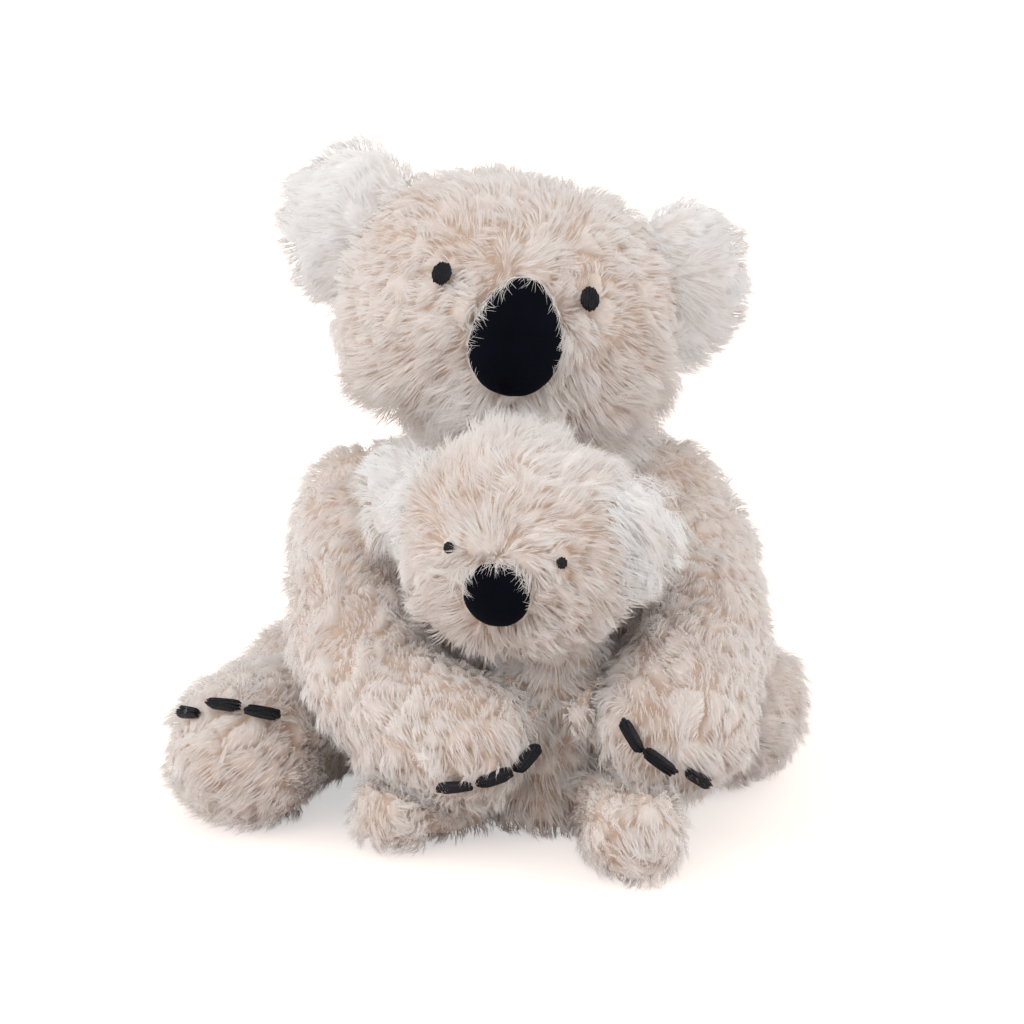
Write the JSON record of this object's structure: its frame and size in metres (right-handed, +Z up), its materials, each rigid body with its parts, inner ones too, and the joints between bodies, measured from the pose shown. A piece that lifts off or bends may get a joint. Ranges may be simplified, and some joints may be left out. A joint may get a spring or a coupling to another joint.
{
  "type": "plush koala",
  "caption": "Seated cream plush koala mother hugging her baby: stuffed bodies, heads and limbs, round white ears, black velvet noses, stitched eyes and yarn claws.",
  "frame": {"origin": "on the floor, in the middle of the mother's flat seat", "axes": "+Z up; the animals face -Y; +X is the mother's left, so her right side is at -X"},
  "size_m": [0.2634, 0.2071, 0.2658],
  "materials": {
    "cream_plush": "long pile plush",
    "white_plush": "long pile plush",
    "black_velvet": "short velvet",
    "black_thread": "embroidery yarn",
    "polyester_filling": "loose polyester fibre",
    "pellet_bag": "woven cotton"
  },
  "bodies": {
    "mother_body": {"mother_body": "cream_plush", "mother_body_filling": "polyester_filling", "mother_pellet_bag": "pellet_bag"},
    "mother_head": {"mother_head": "cream_plush", "mother_head_filling": "polyester_filling", "mother_right_ear": "white_plush", "mother_left_ear": "white_plush", "mother_right_eye": "black_thread", "mother_left_eye": "black_thread", "mother_nose": "black_velvet"},
    "mother_right_arm": {"mother_right_arm": "cream_plush", "mother_right_arm_claw_1": "black_thread", "mother_right_arm_claw_2": "black_thread", "mother_right_arm_claw_3": "black_thread"},
    "mother_left_arm": {"mother_left_arm": "cream_plush", "mother_left_arm_claw_1": "black_thread", "mother_left_arm_claw_2": "black_thread", "mother_left_arm_claw_3": "black_thread"},
    "mother_right_leg": {"mother_right_leg": "cream_plush", "mother_right_leg_claw_1": "black_thread", "mother_right_leg_claw_2": "black_thread", "mother_right_leg_claw_3": "black_thread"},
    "mother_left_leg": {"mother_left_leg": "cream_plush", "mother_left_leg_claw_1": "black_thread", "mother_left_leg_claw_2": "black_thread", "mother_left_leg_claw_3": "black_thread"},
    "baby": {"baby_body": "cream_plush", "baby_body_filling": "polyester_filling", "baby_right_arm": "cream_plush", "baby_left_arm": "cream_plush", "baby_right_leg": "cream_plush", "baby_left_leg": "cream_plush"},
    "baby_head": {"baby_head": "cream_plush", "baby_head_filling": "polyester_filling", "baby_right_ear": "white_plush", "baby_left_ear": "white_plush", "baby_right_eye": "black_thread", "baby_left_eye": "black_thread", "baby_nose": "black_velvet"}
  },
  "joints": [
    {"name": "mother_neck_turn", "type": "hinge", "parent": "mother_body", "child": "mother_head", "pos_m": [-0.006, 0, 0.154], "axis": [0, 0, 1], "range_deg": [-20, 20]},
    {"name": "baby_slide_out", "type": "slide", "parent": "mother_body", "child": "baby", "axis": [0, -1, 0], "range_m": [0, 0.11]},
    {"name": "baby_neck_turn", "type": "hinge", "parent": "baby", "child": "baby_head", "pos_m": [-0.004, -0.077, 0.0835], "axis": [0, 0, 1], "range_deg": [-12, 12]},
    {"name": "mother_right_arm_open", "type": "hinge", "parent": "mother_body", "child": "mother_right_arm", "pos_m": [-0.066, 0.006, 0.116], "axis": [-0.6734, 0.3262, -0.6634], "range_deg": [0, 50]},
    {"name": "mother_left_arm_open", "type": "hinge", "parent": "mother_body", "child": "mother_left_arm", "pos_m": [0.054, 0.006, 0.116], "axis": [-0.6734, -0.3262, 0.6634], "range_deg": [0, 50]},
    {"name": "mother_right_leg_swing", "type": "hinge", "parent": "mother_body", "child": "mother_right_leg", "pos_m": [-0.056, 0.008, 0.034], "axis": [0, 0, -1], "range_deg": [0, 8]},
    {"name": "mother_left_leg_swing", "type": "hinge", "parent": "mother_body", "child": "mother_left_leg", "pos_m": [0.056, 0.008, 0.034], "axis": [0, 0, 1], "range_deg": [0, 8]}
  ],
  "couplings": [
    {"joint": "mother_right_arm_open", "follows": "baby_slide_out", "rad_per_m": 7.93},
    {"joint": "mother_left_arm_open", "follows": "baby_slide_out", "rad_per_m": 7.93}
  ]
}
